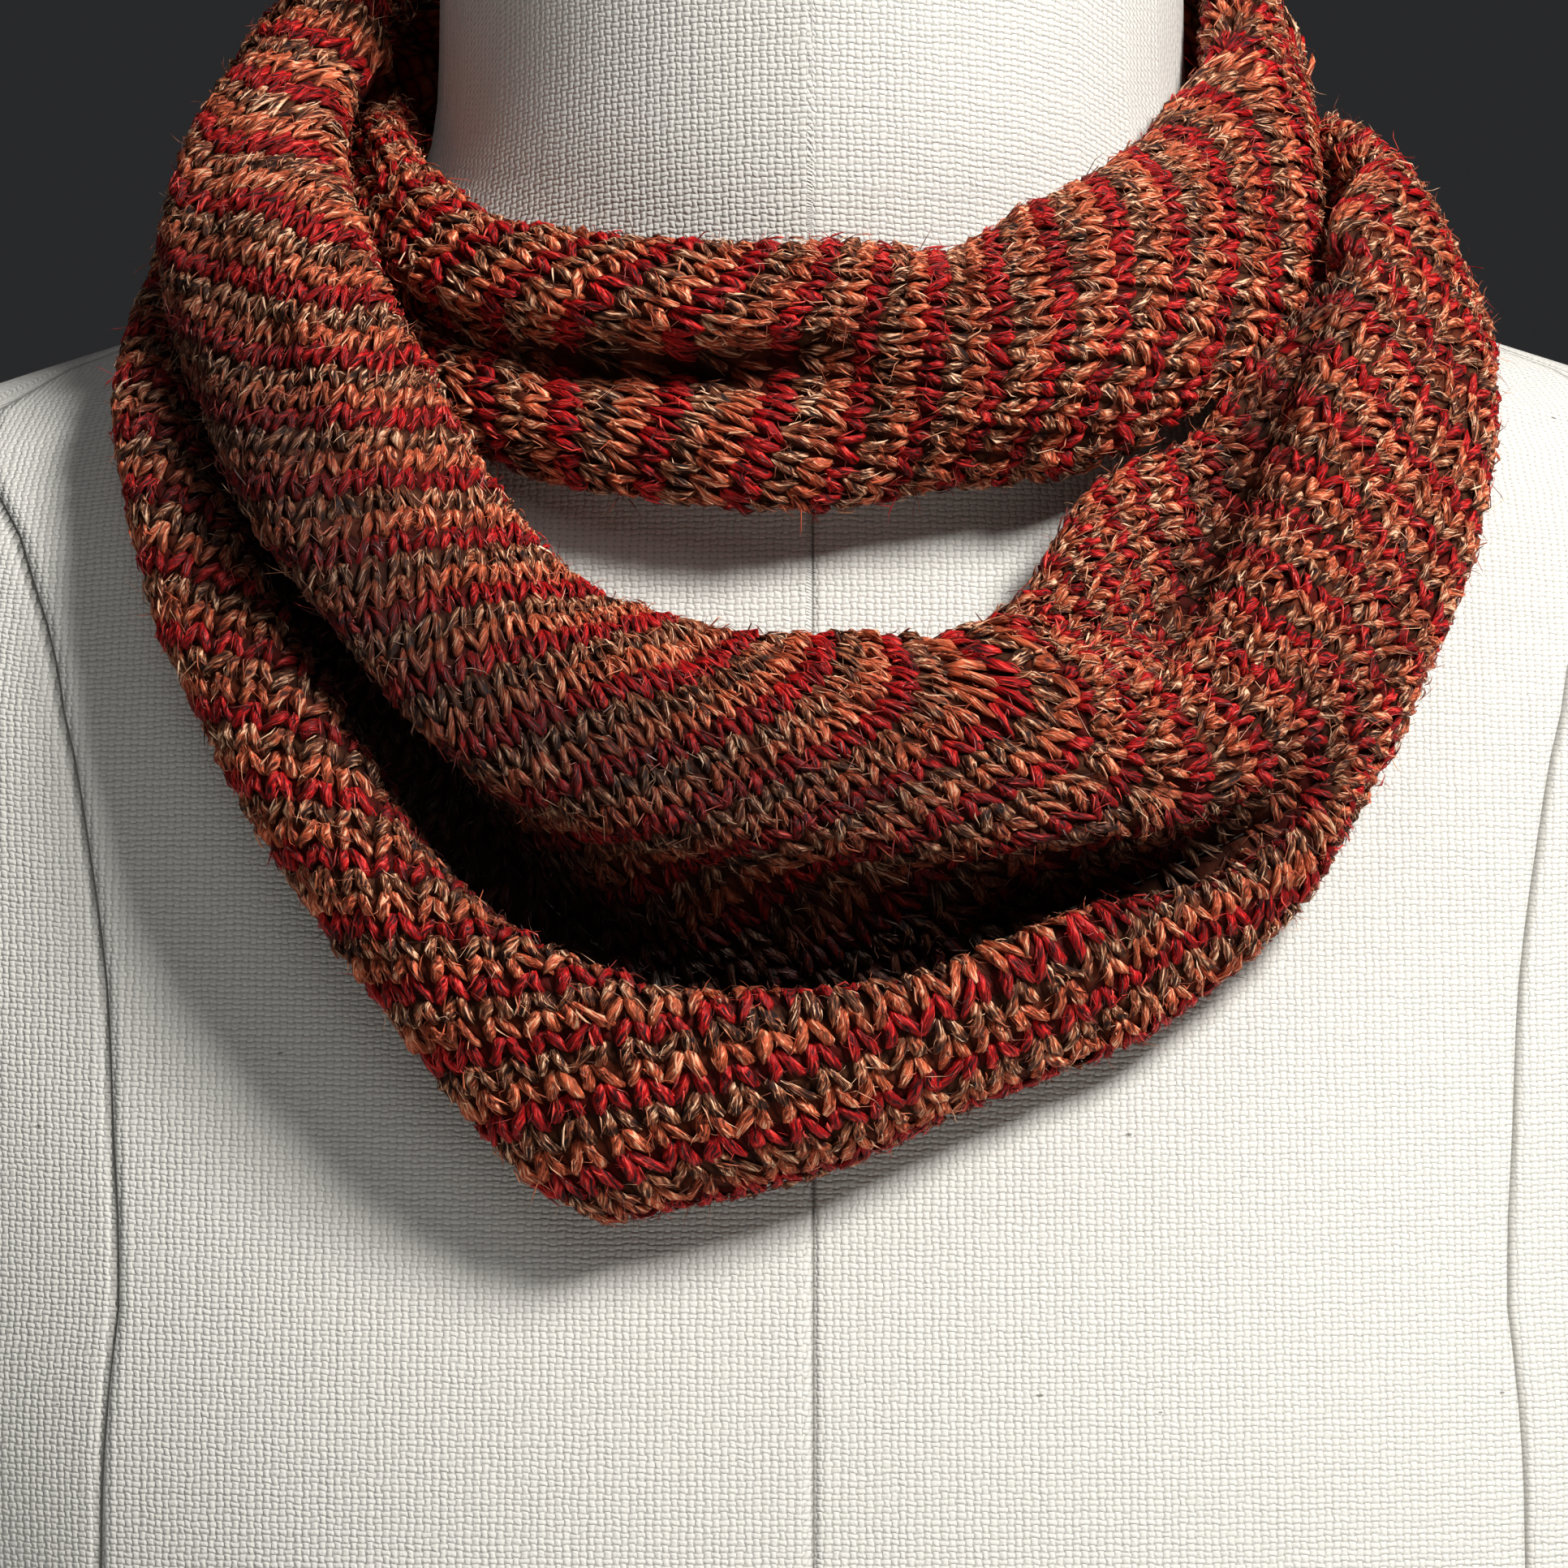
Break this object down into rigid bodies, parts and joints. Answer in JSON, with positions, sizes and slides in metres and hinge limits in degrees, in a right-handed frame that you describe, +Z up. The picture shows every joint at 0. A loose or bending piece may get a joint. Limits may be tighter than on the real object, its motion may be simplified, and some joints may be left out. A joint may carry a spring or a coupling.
{
  "type": "knitted neck warmer on a dress form",
  "caption": "Long knitted loop wound twice round the neck of a limbless dress form, tight at the throat and draped in a loose turn with a deep pocket over the chest.",
  "frame": {"origin": "centre of the bounding box, on the flat underside of the dress form", "axes": "+Z up, -Y to the front of the dress form, +X to the right of the picture"},
  "size_m": [0.384, 0.2329, 0.632],
  "materials": {
    "linen": "coarse plain-woven linen cover, matt, stretched over a firm body",
    "knit": "stockinette knit in one-row stripes of crimson, salmon and marled taupe yarn, soft halo of fibres"
  },
  "bodies": {
    "root": {"dress_form": "linen", "left_band": "knit", "lower_fold": "knit", "right_band": "knit", "neck_wrap": "knit", "back_lower": "knit", "back_upper": "knit"}
  },
  "joints": []
}
